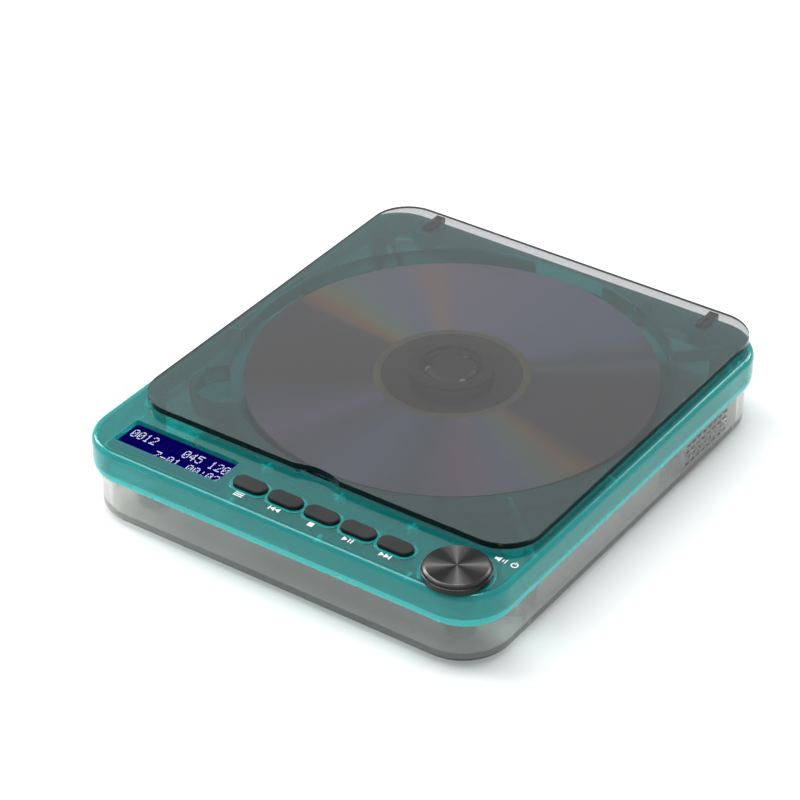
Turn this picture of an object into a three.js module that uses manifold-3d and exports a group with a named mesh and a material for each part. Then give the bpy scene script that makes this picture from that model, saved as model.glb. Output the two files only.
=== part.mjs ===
// Portable CD player. Millimetres, +Z up, +X to the right of the user, +Y to the rear hinge.
// The origin is at the middle of the footprint, on the surface that the feet stand on.
import * as THREE from 'three';
import { mergeVertices } from 'three/addons/utils/BufferGeometryUtils.js';
import Module from 'manifold-3d';

const wasm = await Module();
wasm.setup();

// ---------- driving dimensions ----------
const footHeight = 0.6;
const seamHeight = 14.3;
const deckTop = 24.7;
const lidBottom = 25.4;
const lidTop = 27.35;
const knobTop = 27.7;
const plateThickness = 1.8;
const wallThickness = 1.6;
const seamGap = 0.3;
const restGap = 0.1;

const deckOutline = { halfWidth: 68.6, front: -77.7, rear: 76.6, radius: 14.5 };
const baseOutline = { halfWidth: 67.3, front: -76.4, rear: 75.3, radius: 15.2 };
const lidOutline = { halfWidth: 65.1, front: -55.1, rear: 77.7, radius: 12 };
const thumbNotch = { halfWidth: 7.5, depth: 1.7 };
const baseWall = 2.6;
const baseFloor = 2.8;

const spindle = { x: 0, y: 10.9 };
const disc = { radius: 60, hole: 7.5, top: 22.2, thickness: 1.2 };
const well = { radius: 64, wall: 1.2, floorTop: 19, floorBottom: 17.8 };
const scoop = { angle: 222.6, distance: 65, radius: 9.5 };

const keyRow = { firstX: -12.95, pitch: 12.03, y: -67.9, length: 10.6, width: 5.2, top: 26.1 };
const keyNames = ['mode', 'previous', 'stop', 'play', 'next'];
const knob = { x: 54.7, y: -68.1, radius: 9.55, shaftRadius: 3 };
const display = { left: -58.4, right: -22.2, front: -71.2, rear: -60.3, glassTop: 22.6 };

const hinge = { x: 48.6, y: 74.2, z: 22.7, armWidth: 3, pinRadius: 0.8, boreRadius: 0.9 };
const screwPlaces = [[-60.5, -50], [60.5, -50], [-60.5, 60], [60.5, 60]];
const footPlaces = [[-52, -62], [52, -62], [-52, 62], [52, 62]];

const rail = { x: 14, z: 12.5, radius: 1.2, front: -57.5, rear: 4 };
const sledRest = { y: -13.1 };
const leadScrew = { x: 20.5, z: 12.5, radius: 1.15, front: -57, rear: 6 };
const gearModule = 0.35;
const screwGearTeeth = 24;
const pinionTeeth = 8;
const gearPlane = { front: 3, thickness: 2 };
const chassis = { bottom: 9, top: 10.2, left: -30, right: 34, front: -58, rear: 28 };
const damperPlaces = [[-26, -51], [30, -51], [-26, 24.4], [30, 24.4]];
const boardBottom = 4.5;
const keyBoardBottom = 17.2;

// ---------- materials ----------
function finish(color, roughness, metalness, opacity = 1) {
  return new THREE.MeshStandardMaterial({ color, roughness, metalness, opacity, transparent: opacity < 1 });
}

const material = {
  teal: finish(0x3fa8a2, 0.3, 0, 0.75),
  clearGrey: finish(0x9a9a96, 0.3, 0, 0.55),
  smoke: finish(0x3c3f40, 0.1, 0, 0.6),
  black: finish(0x191a1b, 0.45, 0),
  keyRubber: finish(0x37393a, 0.6, 0),
  turnedMetal: finish(0x3a3a3c, 0.3, 0.9),
  steel: finish(0xb8babd, 0.3, 1),
  brass: finish(0xb59a55, 0.35, 1),
  board: finish(0x1f5a3c, 0.5, 0),
  chip: finish(0x202224, 0.5, 0),
  displayBlue: finish(0x0c0a86, 0.2, 0),
  whitePlastic: finish(0xdadbd8, 0.5, 0),
  rubber: finish(0x26282a, 0.85, 0),
  foil: finish(0x9fa4a8, 0.4, 0.6),
  mirror: finish(0xa7abb8, 0.15, 0.9),
  lensGlass: finish(0x8c8fd0, 0.05, 0, 0.5),
};

// ---------- solids ----------
function solidOf(geometry) {
  const bare = geometry.index ? geometry.toNonIndexed() : geometry.clone();
  bare.deleteAttribute('normal');
  bare.deleteAttribute('uv');
  const merged = mergeVertices(bare, 1e-5);
  const vertProperties = new Float32Array(merged.attributes.position.array);
  const triVerts = new Uint32Array(merged.index.array);
  return new wasm.Manifold(new wasm.Mesh({ numProp: 3, vertProperties, triVerts }));
}

function geometryOf(solid) {
  const mesh = solid.getMesh();
  const geometry = new THREE.BufferGeometry();
  const positions = new Float32Array(mesh.numVert * 3);
  for (let vertex = 0; vertex < mesh.numVert; vertex += 1) {
    for (let axis = 0; axis < 3; axis += 1) {
      positions[vertex * 3 + axis] = mesh.vertProperties[vertex * mesh.numProp + axis];
    }
  }
  geometry.setAttribute('position', new THREE.BufferAttribute(positions, 3));
  geometry.setIndex(new THREE.BufferAttribute(new Uint32Array(mesh.triVerts), 1));
  geometry.computeVertexNormals();
  return geometry;
}

function join(first, ...others) {
  return others.reduce((sum, next) => sum.add(next), first);
}

function cut(body, ...tools) {
  return tools.reduce((rest, tool) => rest.subtract(tool), body);
}

function block(x0, x1, y0, y1, z0, z1) {
  const geometry = new THREE.BoxGeometry(x1 - x0, y1 - y0, z1 - z0);
  geometry.translate((x0 + x1) / 2, (y0 + y1) / 2, (z0 + z1) / 2);
  return solidOf(geometry);
}

function cylinderZ(x, y, radius, z0, z1, segments = 24) {
  const geometry = new THREE.CylinderGeometry(radius, radius, z1 - z0, segments);
  geometry.rotateX(Math.PI / 2);
  geometry.translate(x, y, (z0 + z1) / 2);
  return solidOf(geometry);
}

function cylinderY(x, z, radius, y0, y1, segments = 16) {
  const geometry = new THREE.CylinderGeometry(radius, radius, y1 - y0, segments);
  geometry.translate(x, (y0 + y1) / 2, z);
  return solidOf(geometry);
}

function cylinderX(y, z, radius, x0, x1, segments = 16) {
  const geometry = new THREE.CylinderGeometry(radius, radius, x1 - x0, segments);
  geometry.rotateZ(Math.PI / 2);
  geometry.translate((x0 + x1) / 2, y, z);
  return solidOf(geometry);
}

// A turned piece about a vertical axis: points are [radius, z] pairs, going up the outside.
function turned(x, y, points, segments = 36) {
  const profile = points.map(([radius, z]) => new THREE.Vector2(radius, z));
  const geometry = new THREE.LatheGeometry(profile, segments);
  geometry.rotateX(Math.PI / 2);
  geometry.translate(x, y, 0);
  return solidOf(geometry);
}

function extruded(shape, z0, z1, curveSegments = 8) {
  const geometry = new THREE.ExtrudeGeometry(shape, { depth: z1 - z0, bevelEnabled: false, curveSegments });
  geometry.translate(0, 0, z0);
  return solidOf(geometry);
}

// Corners of a rounded rectangle, inset from its outline, counter-clockwise.
function outlinePoints(outline, inset, cornerSteps) {
  const radius = Math.max(outline.radius - inset, 0.5);
  const right = outline.halfWidth - inset - radius;
  const rear = outline.rear - inset - radius;
  const front = outline.front + inset + radius;
  const corners = [[right, front, -90], [right, rear, 0], [-right, rear, 90], [-right, front, 180]];
  const points = [];
  for (const [x, y, startAngle] of corners) {
    for (let step = 0; step <= cornerSteps; step += 1) {
      const angle = THREE.MathUtils.degToRad(startAngle + (90 * step) / cornerSteps);
      points.push([x + radius * Math.cos(angle), y + radius * Math.sin(angle)]);
    }
  }
  return points;
}

// A closed body through rounded rectangles: rings are [inset, z] pairs from the bottom up.
function stacked(outline, rings, cornerSteps = 6) {
  const positions = [];
  const indices = [];
  const count = 4 * (cornerSteps + 1);
  for (const [inset, z] of rings) {
    for (const [x, y] of outlinePoints(outline, inset, cornerSteps)) {
      positions.push(x, y, z);
    }
  }
  for (let ring = 0; ring < rings.length - 1; ring += 1) {
    for (let step = 0; step < count; step += 1) {
      const a = ring * count + step;
      const b = ring * count + ((step + 1) % count);
      indices.push(a, b, b + count, a, b + count, a + count);
    }
  }
  const last = (rings.length - 1) * count;
  for (let step = 1; step < count - 1; step += 1) {
    indices.push(0, step + 1, step);
    indices.push(last, last + step, last + step + 1);
  }
  const geometry = new THREE.BufferGeometry();
  geometry.setAttribute('position', new THREE.Float32BufferAttribute(positions, 3));
  geometry.setIndex(indices);
  return solidOf(geometry);
}

function stadiumShape(length, width) {
  const half = (length - width) / 2;
  const shape = new THREE.Shape();
  shape.moveTo(-half, -width / 2);
  shape.lineTo(half, -width / 2);
  shape.absarc(half, 0, width / 2, -Math.PI / 2, Math.PI / 2, false);
  shape.lineTo(-half, width / 2);
  shape.absarc(-half, 0, width / 2, Math.PI / 2, (3 * Math.PI) / 2, false);
  return shape;
}

// ---------- the scene graph ----------
const player = new THREE.Group();

function addPiece(name, solid, pieceMaterial, parent = player) {
  const mesh = new THREE.Mesh(geometryOf(solid), pieceMaterial);
  mesh.name = name;
  parent.add(mesh);
  return mesh;
}

function polar(angle, distance, centre = spindle) {
  const turn = THREE.MathUtils.degToRad(angle);
  return [centre.x + distance * Math.cos(turn), centre.y + distance * Math.sin(turn)];
}

function keyX(index) {
  return keyRow.firstX + index * keyRow.pitch;
}

// ---------- lower case ----------
const deckLowerInset = 1.2;
const deckLowerRise = 3;
const lip = { outer: 1.85, top: seamHeight + 1.2 };

function baseShell() {
  const bottomRound = 2.5;
  const rings = [];
  for (const degrees of [0, 22.5, 45, 67.5, 90]) {
    const turn = THREE.MathUtils.degToRad(degrees);
    rings.push([bottomRound * (1 - Math.sin(turn)), footHeight + bottomRound * (1 - Math.cos(turn))]);
  }
  rings.push([0, seamHeight - seamGap]);
  const outer = stacked(baseOutline, rings);
  const lipRing = stacked(baseOutline, [[lip.outer, baseFloor], [lip.outer, lip.top]]);
  const hollow = stacked(baseOutline, [[baseWall, baseFloor], [baseWall, lip.top + 1]]);
  let shell = cut(join(outer, lipRing), hollow);

  const bosses = screwPlaces.map(([x, y]) => cylinderZ(x, y, 3.6, baseFloor - 0.5, seamHeight - seamGap, 20));
  const damperPosts = damperPlaces.map(([x, y]) => cylinderZ(x, y, 2.4, baseFloor - 0.5, 6.5, 16));
  const boardPosts = [[-50, -38], [-50, 52], [0, 52], [50, 52]]
    .map(([x, y]) => cylinderZ(x, y, 1.8, baseFloor - 0.5, boardBottom - restGap, 12));
  const partition = block(57, 65.5, 23, 24, baseFloor - 0.5, 13);
  const batteryStops = [-45.8, 20.6].map((y) => block(44, 56, y, y + 1, baseFloor - 0.5, 7));
  shell = join(shell, ...bosses, ...damperPosts, ...boardPosts, partition, ...batteryStops);

  const screwHoles = screwPlaces.map(([x, y]) => cylinderZ(x, y, 1.15, 0, 15, 16));
  const counterbores = screwPlaces.map(([x, y]) => cylinderZ(x, y, 2.4, 0, 3.4, 20));
  const footSeats = footPlaces.map(([x, y]) => cylinderZ(x, y, 4.3, 0, 1.9, 24));
  shell = cut(shell, ...screwHoles, ...counterbores, ...footSeats);

  const vents = [];
  for (let row = 0; row < 4; row += 1) {
    for (let column = 0; column < 8; column += 1) {
      const y = 30.2 + column * 3 + (row % 2) * 0.6;
      const z = 6 + row * 2;
      vents.push(block(60, 70, y, y + 2, z, z + 0.9));
    }
  }
  const plugX = -16;
  const socketShape = stadiumShape(9.6, 3.8);
  const socketCut = extruded(socketShape, -6, 6).rotate([90, 0, 0]).translate([plugX, 73, 7.4]);
  const jackCut = cylinderY(12, 8.2, 2.6, 68, 80, 24);
  return cut(shell, ...vents, socketCut, jackCut);
}

addPiece('base_shell', baseShell(), material.clearGrey);

const cornerNames = ['front_left', 'front_right', 'rear_left', 'rear_right'];
footPlaces.forEach(([x, y], index) => {
  const foot = turned(0, 0, [[0, 0], [3.6, 0], [4, 0.4], [4, 1.8], [0, 1.8]], 24);
  addPiece(`foot_${cornerNames[index]}`, foot, material.rubber).position.set(x, y, 0);
});

screwPlaces.forEach(([x, y], index) => {
  const body = turned(0, 0, [[0, 1.4], [1.9, 1.4], [2.1, 1.7], [2.1, 3.2], [0.8, 3.2], [0.8, 19], [0, 19.6]], 12);
  const slotLength = block(-1.3, 1.3, -0.25, 0.25, 1, 2);
  const slotAcross = block(-0.25, 0.25, -1.3, 1.3, 1, 2);
  const screw = addPiece(`case_screw_${cornerNames[index]}`, cut(body, slotLength, slotAcross), material.steel);
  screw.position.set(x, y, 0);
});

// ---------- upper case with the disc well ----------
const crossPlaces = [-15.7, 8.9, 32.7];
const gussetPlaces = [-14.4, 15, 43.9];
const ribAngles = [42, 66, 114, 138, 196, 318, 344];

function deckRings(extraInset, top) {
  const topRound = 2;
  const rings = [];
  for (const degrees of [0, 30, 60, 90]) {
    const turn = THREE.MathUtils.degToRad(degrees);
    const inset = deckLowerInset * (1 - Math.sin(turn));
    rings.push([inset + extraInset, seamHeight + deckLowerRise * (1 - Math.cos(turn))]);
  }
  for (const degrees of [0, 30, 60, 90]) {
    const turn = THREE.MathUtils.degToRad(degrees);
    rings.push([topRound * (1 - Math.cos(turn)) + extraInset, top - topRound * (1 - Math.sin(turn))]);
  }
  return rings;
}

function thumbArc(depth) {
  const radius = (thumbNotch.halfWidth ** 2 + depth ** 2) / (2 * depth);
  return { radius, centreY: lidOutline.front + depth - radius, sweep: Math.asin(thumbNotch.halfWidth / radius) };
}

function deckShell() {
  const outer = stacked(deckOutline, deckRings(0, deckTop));
  const hollowRings = deckRings(wallThickness, deckTop - plateThickness);
  hollowRings.unshift([wallThickness + deckLowerInset, seamHeight - 2]);
  let shell = cut(outer, stacked(deckOutline, hollowRings));

  const inside = stacked(deckOutline, deckRings(0.8, deckTop - 0.5));
  const wallBottom = well.floorTop + seamGap;
  const wellWall = cylinderZ(spindle.x, spindle.y, well.radius + well.wall, wallBottom, deckTop - 1, 72);
  const [scoopX, scoopY] = polar(scoop.angle, scoop.distance);
  const scoopWall = cylinderZ(scoopX, scoopY, scoop.radius + well.wall, wallBottom, deckTop - 1, 32);
  const bosses = screwPlaces.map(([x, y]) => cylinderZ(x, y, 3, seamHeight + 0.3, deckTop - 1, 20));
  const ribs = ribAngles.map((angle) => {
    const rib = block(well.radius + 0.5, well.radius + 26, -0.5, 0.5, wallBottom, deckTop - 1);
    return rib.rotate([0, 0, angle]).translate([spindle.x, spindle.y, 0]);
  });
  const crosses = crossPlaces.flatMap((x) => [
    block(x - 1.8, x + 1.8, -57.2, -56.4, 21.3, deckTop - 1),
    block(x - 0.4, x + 0.4, -58.6, -55, 21.3, deckTop - 1),
  ]);
  const gussets = gussetPlaces.map((x) => {
    const shape = new THREE.Shape();
    shape.moveTo(0, 0);
    shape.lineTo(3.2, 0);
    shape.lineTo(0, -6);
    const web = extruded(shape, -0.5, 0.5).rotate([90, 0, 90]);
    return web.translate([x, deckOutline.front + 1, deckTop - 1]);
  });
  const pockets = [-1, 1].map((side) => {
    const centre = side * hinge.x;
    return block(centre - 3.3, centre + 3.3, 67.2, deckOutline.rear - 1, 17.9, deckTop - 1);
  });
  const boardPosts = [-7, 17, 41].map((x) => cylinderZ(x, -62, 1.3, keyBoardBottom + 1 + restGap, deckTop - 1, 12));
  const extras = join(wellWall, scoopWall, ...bosses, ...ribs, ...crosses, ...gussets, ...pockets, ...boardPosts);
  shell = join(shell, extras.intersect(inside));

  const wellCut = cylinderZ(spindle.x, spindle.y, well.radius, 10, 30, 72);
  const scoopCut = cylinderZ(scoopX, scoopY, scoop.radius, 10, 30, 32);
  const window = block(display.left, display.right, display.front, display.rear, 20, 30);
  const keyHoles = keyNames.map((name, index) => {
    const hole = extruded(stadiumShape(keyRow.length + 0.5, keyRow.width + 0.5), 20, 30, 6);
    return hole.translate([keyX(index), keyRow.y, 0]);
  });
  const knobHole = cylinderZ(knob.x, knob.y, knob.shaftRadius + 0.5, 20, 30);
  const pilotHoles = screwPlaces.map(([x, y]) => cylinderZ(x, y, 1, 10, 21.5, 16));
  const hingeCuts = [-1, 1].map((side) => {
    const centre = side * hinge.x;
    return block(centre - 2, centre + 2, 68.3, 80, 18.9, 30);
  });
  const pinCuts = [-1, 1].map((side) => {
    const centre = side * hinge.x;
    return cylinderX(hinge.y, hinge.z, hinge.boreRadius, centre - 3.9, centre + 3.9);
  });
  const thumbCut = block(-thumbNotch.halfWidth, thumbNotch.halfWidth, lidOutline.front, -50.5, deckTop - 0.7, 30);
  shell = cut(shell, wellCut, scoopCut, window, ...keyHoles, knobHole);
  return cut(shell, ...pilotHoles, ...hingeCuts, ...pinCuts, thumbCut);
}

addPiece('deck_shell', deckShell(), material.teal);

function wellFloor() {
  const { floorBottom, floorTop } = well;
  const [scoopX, scoopY] = polar(scoop.angle, scoop.distance);
  const round = cylinderZ(spindle.x, spindle.y, well.radius + well.wall, floorBottom, floorTop, 72);
  const lobe = cylinderZ(scoopX, scoopY, scoop.radius + well.wall, floorBottom, floorTop, 32);
  const rearLimit = deckOutline.rear - wallThickness - seamGap;
  const plate = join(round, lobe).intersect(block(-70, 70, -60, rearLimit, floorBottom, floorTop));
  const hubHole = cylinderZ(spindle.x, spindle.y, 16, 15, 30, 36);
  const lensSlot = block(-12, 12, -52.8, 4, 15, 30);
  return cut(plate, hubHole, lensSlot);
}

addPiece('well_floor', wellFloor(), material.teal);

// ---------- lid, its two arms and their pins ----------
function lidShape() {
  const { halfWidth, front, rear, radius } = lidOutline;
  const arc = thumbArc(thumbNotch.depth);
  const shape = new THREE.Shape();
  shape.moveTo(-halfWidth + radius, front);
  shape.lineTo(-thumbNotch.halfWidth, front);
  shape.absarc(0, arc.centreY, arc.radius, Math.PI / 2 + arc.sweep, Math.PI / 2 - arc.sweep, true);
  shape.lineTo(halfWidth - radius, front);
  shape.absarc(halfWidth - radius, front + radius, radius, -Math.PI / 2, 0, false);
  shape.absarc(halfWidth - radius, rear - radius, radius, 0, Math.PI / 2, false);
  shape.absarc(-halfWidth + radius, rear - radius, radius, Math.PI / 2, Math.PI, false);
  shape.absarc(-halfWidth + radius, front + radius, radius, Math.PI, (3 * Math.PI) / 2, false);
  return shape;
}

addPiece('lid_plate', extruded(lidShape(), lidBottom, lidTop, 10), material.smoke);

const padRing = [[9.4, 24.2], [12.6, 24.2], [12.6, lidBottom - restGap], [9.4, lidBottom - restGap], [9.4, 24.2]];
addPiece('lid_pad_ring', turned(spindle.x, spindle.y, padRing), material.black);

function hingeArm() {
  const knuckle = 1.9;
  const armTop = lidBottom - restGap - hinge.z;
  const shape = new THREE.Shape();
  shape.moveTo(-5.4, armTop);
  shape.lineTo(-5.4, armTop - 1.3);
  shape.lineTo(-knuckle, 0);
  shape.absarc(0, 0, knuckle, Math.PI, 2 * Math.PI, false);
  shape.lineTo(3.2, armTop - 1.4);
  shape.lineTo(3.2, armTop);
  const arm = extruded(shape, -hinge.armWidth / 2, hinge.armWidth / 2, 10);
  return cut(arm, cylinderZ(0, 0, hinge.boreRadius, -5, 5, 16)).rotate([90, 0, 90]);
}

for (const [side, name] of [[-1, 'left'], [1, 'right']]) {
  const arm = addPiece(`hinge_arm_${name}`, hingeArm(), material.black);
  arm.position.set(side * hinge.x, hinge.y, hinge.z);
  const pin = addPiece(`hinge_pin_${name}`, cylinderX(0, 0, hinge.pinRadius, -3.6, 3.6), material.steel);
  pin.position.set(side * hinge.x, hinge.y, hinge.z);
}

// ---------- keys, key board, switches ----------
function keySolid() {
  const bevel = 0.4;
  const cap = new THREE.ExtrudeGeometry(stadiumShape(keyRow.length - 2 * bevel, keyRow.width - 2 * bevel), {
    depth: keyRow.top - 22 - 2 * bevel,
    bevelEnabled: true,
    bevelThickness: bevel,
    bevelSize: bevel,
    bevelSegments: 2,
    curveSegments: 6,
  });
  cap.translate(0, 0, 22 + bevel);
  const flange = extruded(stadiumShape(11.4, 6.6), 21.6, 22.5, 5);
  const stem = block(-1.5, 1.5, -1, 1, 20.9, 21.8);
  return join(solidOf(cap), flange, stem);
}

keyNames.forEach((name, index) => {
  addPiece(`${name}_key`, keySolid(), material.keyRubber).position.set(keyX(index), keyRow.y, 0);
  const housing = block(-2.6, 2.6, -2.6, 2.6, 0, 1.8);
  const plunger = cylinderZ(0, 0, 1.2, 1.5, 2.1, 12);
  const key = addPiece(`${name}_switch`, join(housing, plunger), material.chip);
  key.position.set(keyX(index), keyRow.y, keyBoardBottom + 1 + restGap);
});

addPiece('key_board', block(-18.5, 60.5, -72.6, -60, keyBoardBottom, keyBoardBottom + 1), material.board);

// ---------- volume control ----------
const controlTop = 22.4;
const controlBody = block(knob.x - 5.4, knob.x + 5.4, knob.y - 4.1, knob.y + 5.4, 18.3, controlTop);
const shaftWell = cylinderZ(knob.x, knob.y, knob.shaftRadius + 0.15, 19, 30);
addPiece('volume_control', cut(controlBody, shaftWell), material.foil);
addPiece('volume_shaft', cylinderZ(knob.x, knob.y, knob.shaftRadius, 19.2, 26.6), material.whitePlastic);

const knobFoot = deckTop + seamGap;
const knobProfile = [
  [0, 26.8], [knob.shaftRadius + 0.15, 26.8], [knob.shaftRadius + 0.15, knobFoot], [knob.radius, knobFoot],
  [knob.radius, 26.3], [9.05, 26.5], [9.05, 27.25], [8.35, knobTop], [0, knobTop - 0.1],
];
addPiece('volume_knob', turned(knob.x, knob.y, knobProfile, 48), material.turnedMetal);

// ---------- display ----------
const glassSpan = [display.left - 1.2, display.right + 1.2, display.front - 1.2, display.rear + 1.2];
addPiece('display_glass', block(...glassSpan, 21.2, display.glassTop), material.displayBlue);
const lightBox = cut(block(...glassSpan, 17.4, 21.1), block(-57, -23.6, -70, -61.5, 18.6, 25));
addPiece('display_light_box', lightBox, material.whitePlastic);

// ---------- disc and its drive ----------
const discBottom = disc.top - disc.thickness;
const discProfile = [
  [disc.hole, discBottom], [disc.radius - 0.2, discBottom], [disc.radius, discBottom + 0.2],
  [disc.radius, disc.top - 0.2], [disc.radius - 0.2, disc.top], [disc.hole, disc.top], [disc.hole, discBottom],
];
addPiece('disc', turned(spindle.x, spindle.y, discProfile, 60), material.mirror);

const ballHeight = 23.15;
const ballRadius = 1.1;
const ballAngles = [90, 210, 330];
const turntableProfile = [
  [0, 11], [1, 11], [1, 18.6], [4, 19], [14.5, 19.6], [14.5, discBottom - restGap],
  [7.2, discBottom - restGap], [7.2, 23.8], [6, 24.6], [0, 24.6],
];
const ballBores = ballAngles.map((angle) => {
  const bore = cylinderX(0, ballHeight, ballRadius + 0.15, 4.5, 9);
  return bore.rotate([0, 0, angle]).translate([spindle.x, spindle.y, 0]);
});
addPiece('turntable', cut(turned(spindle.x, spindle.y, turntableProfile, 36), ...ballBores), material.black);
ballAngles.forEach((angle, index) => {
  const [x, y] = polar(angle, 6.7);
  const ball = solidOf(new THREE.SphereGeometry(ballRadius, 10, 6));
  addPiece(`hub_ball_${index + 1}`, ball, material.steel).position.set(x, y, ballHeight);
});

const motorProfile = [
  [1.2, 10.5], [11, 10.5], [11, 15.9], [10.4, 16.4], [1.2, 16.4], [1.2, 10.5],
];
addPiece('spindle_motor', turned(spindle.x, spindle.y, motorProfile), material.foil);

// ---------- mechanism chassis, dampers and rails ----------
function chassisFrame() {
  const plate = block(chassis.left, chassis.right, chassis.front, chassis.rear, chassis.bottom, chassis.top);
  const window = block(-10, 10, -52, -4, 5, 15);
  const gearWindow = block(15, 32, gearPlane.front - 0.7, gearPlane.front + gearPlane.thickness + 0.9, 5, 15);
  const motorWindow = block(20.4, 31.8, 5, 21.2, 5, 15);
  const railBlocks = [-rail.x, rail.x].flatMap((x) => [
    block(x - 2.2, x + 2.2, -57.4, -55.4, 10, 14.8),
    block(x - 2.2, x + 2.2, 0, 2, 10, 14.8),
  ]);
  const screwBlocks = [
    block(leadScrew.x - 2, leadScrew.x + 2, -57.4, -55.4, 10, 14.4),
    block(leadScrew.x - 2, leadScrew.x + 2, 0, 2, 10, 14.4),
  ];
  const bores = [-rail.x, rail.x].map((x) => cylinderY(x, rail.z, rail.radius + 0.1, -60, 6));
  const screwBore = cylinderY(leadScrew.x, leadScrew.z, leadScrew.radius + 0.15, -60, 6);
  const frame = cut(plate, window, gearWindow, motorWindow);
  return cut(join(frame, ...railBlocks, ...screwBlocks), ...bores, screwBore);
}

addPiece('mechanism_chassis', chassisFrame(), material.foil);

const damperProfile = [[0, 6.6], [2.6, 6.6], [3.2, 7], [2.6, 7.7], [3.2, 8.4], [2.6, 8.9], [0, 8.9]];
damperPlaces.forEach(([x, y], index) => {
  addPiece(`damper_${cornerNames[index]}`, turned(0, 0, damperProfile, 16), material.rubber).position.set(x, y, 0);
});

for (const [side, name] of [[-1, 'left'], [1, 'right']]) {
  addPiece(`guide_rail_${name}`, cylinderY(side * rail.x, rail.z, rail.radius, rail.front, rail.rear), material.steel);
}

// ---------- optical pickup ----------
const pickup = new THREE.Group();
pickup.position.set(0, sledRest.y, 0);
player.add(pickup);

function pickupBody() {
  const carriage = block(-17, 17, -7, 7, 10.9, 15.1);
  const lensBlock = block(-8, 8, -5, 5, 15, 18.3);
  const nut = block(16.8, 22.8, -2.5, 2.5, 10.9, 14.6);
  const bores = [-rail.x, rail.x].map((x) => cylinderY(x, rail.z, rail.radius + 0.1, -10, 10));
  const nutBore = cylinderY(leadScrew.x, leadScrew.z, leadScrew.radius + 0.2, -10, 10);
  return cut(join(carriage, lensBlock, nut), ...bores, nutBore);
}

addPiece('optical_pickup', pickupBody(), material.black, pickup);
const lensProfile = [[0, 18.4], [2.1, 18.4], [2.1, 18.8], [1.2, 19.2], [0, 19.3]];
addPiece('objective_lens', turned(0, 0, lensProfile, 20), material.lensGlass, pickup);

// ---------- lead screw, gear, pinion and sled motor ----------
function toothedWheel(teeth, boreRadius, phase) {
  const pitchRadius = (gearModule * teeth) / 2;
  const tip = pitchRadius + 0.75 * gearModule;
  const root = pitchRadius - 1.15 * gearModule;
  const pitchAngle = (2 * Math.PI) / teeth;
  const shape = new THREE.Shape();
  for (let tooth = 0; tooth < teeth; tooth += 1) {
    const middle = phase + tooth * pitchAngle;
    const corners = [[root, -0.28], [tip, -0.11], [tip, 0.11], [root, 0.28]];
    for (const [radius, fraction] of corners) {
      const angle = middle + fraction * pitchAngle;
      const x = radius * Math.cos(angle);
      const y = radius * Math.sin(angle);
      if (tooth === 0 && fraction === -0.28) {
        shape.moveTo(x, y);
      } else {
        shape.lineTo(x, y);
      }
    }
  }
  const wheel = extruded(shape, -gearPlane.thickness / 2, gearPlane.thickness / 2);
  return cut(wheel, cylinderZ(0, 0, boreRadius, -5, 5, 16)).rotate([90, 0, 0]);
}

function ridgedScrew() {
  const ridgePitch = 6;
  const points = [[0, leadScrew.front], [0.8, leadScrew.front]];
  for (let y = -53; y < -5; y += ridgePitch) {
    points.push([0.8, y], [leadScrew.radius, y + 0.8], [leadScrew.radius, y + 2.2], [0.8, y + 3]);
  }
  points.push([0.8, leadScrew.rear], [0, leadScrew.rear]);
  const profile = points.map(([radius, y]) => new THREE.Vector2(radius, y));
  const geometry = new THREE.LatheGeometry(profile, 12);
  geometry.translate(leadScrew.x, 0, leadScrew.z);
  return solidOf(geometry);
}

const wheelDistance = (gearModule * (screwGearTeeth + pinionTeeth)) / 2;
const wheelY = gearPlane.front + gearPlane.thickness / 2;
const motorX = leadScrew.x + wheelDistance;
addPiece('lead_screw', ridgedScrew(), material.steel);
const screwGear = addPiece('screw_gear', toothedWheel(screwGearTeeth, 0.9, 0), material.whitePlastic);
screwGear.position.set(leadScrew.x, wheelY, leadScrew.z);
const pinion = addPiece('motor_pinion', toothedWheel(pinionTeeth, 0.4, Math.PI / pinionTeeth), material.brass);
pinion.position.set(motorX, wheelY, leadScrew.z);

const sledMotorCan = cylinderY(motorX, leadScrew.z, 4.9, 6.2, 20.6, 28);
const sledMotorShaft = cylinderY(motorX, leadScrew.z, 0.3, 2.6, 7, 12);
addPiece('sled_motor', join(sledMotorCan, sledMotorShaft), material.steel);

// ---------- electronics, battery and speaker ----------
function mainBoard() {
  const shape = new THREE.Shape();
  shape.moveTo(-56, -44);
  shape.lineTo(-36, -44);
  shape.lineTo(-36, 31);
  shape.lineTo(55, 31);
  shape.lineTo(55, 71);
  shape.lineTo(-55, 71);
  shape.lineTo(-56, 70);
  return extruded(shape, boardBottom, boardBottom + 1);
}

const boardTop = boardBottom + 1 + restGap;
addPiece('main_board', mainBoard(), material.board);
addPiece('signal_chip', block(-30, -16, 38, 52, boardTop, boardTop + 1.6), material.chip);
const canProfile = [
  [0, boardTop], [3.2, boardTop], [3.2, boardTop + 6], [2.8, boardTop + 6.4], [0, boardTop + 6.4],
];
addPiece('capacitor', turned(-44, 2, canProfile, 20), material.foil);

const socketOuter = extruded(stadiumShape(9, 3.2), 0, 7).rotate([90, 0, 0]).translate([-16, 74.6, 7.4]);
const socketInner = extruded(stadiumShape(8.3, 2.5), 0, 6).rotate([90, 0, 0]).translate([-16, 75, 7.4]);
const socketTongue = block(-19.2, -12.8, 68, 73.6, 7.1, 7.7);
addPiece('charge_socket', join(cut(socketOuter, socketInner), socketTongue), material.steel);

const jackBody = join(block(7.8, 16.2, 60, 71.4, boardTop, 11.4), cylinderY(12, 8.2, 2.4, 71, 74.8, 24));
addPiece('audio_jack', cut(jackBody, cylinderY(12, 8.2, 1.8, 62, 80, 20)), material.black);

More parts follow.
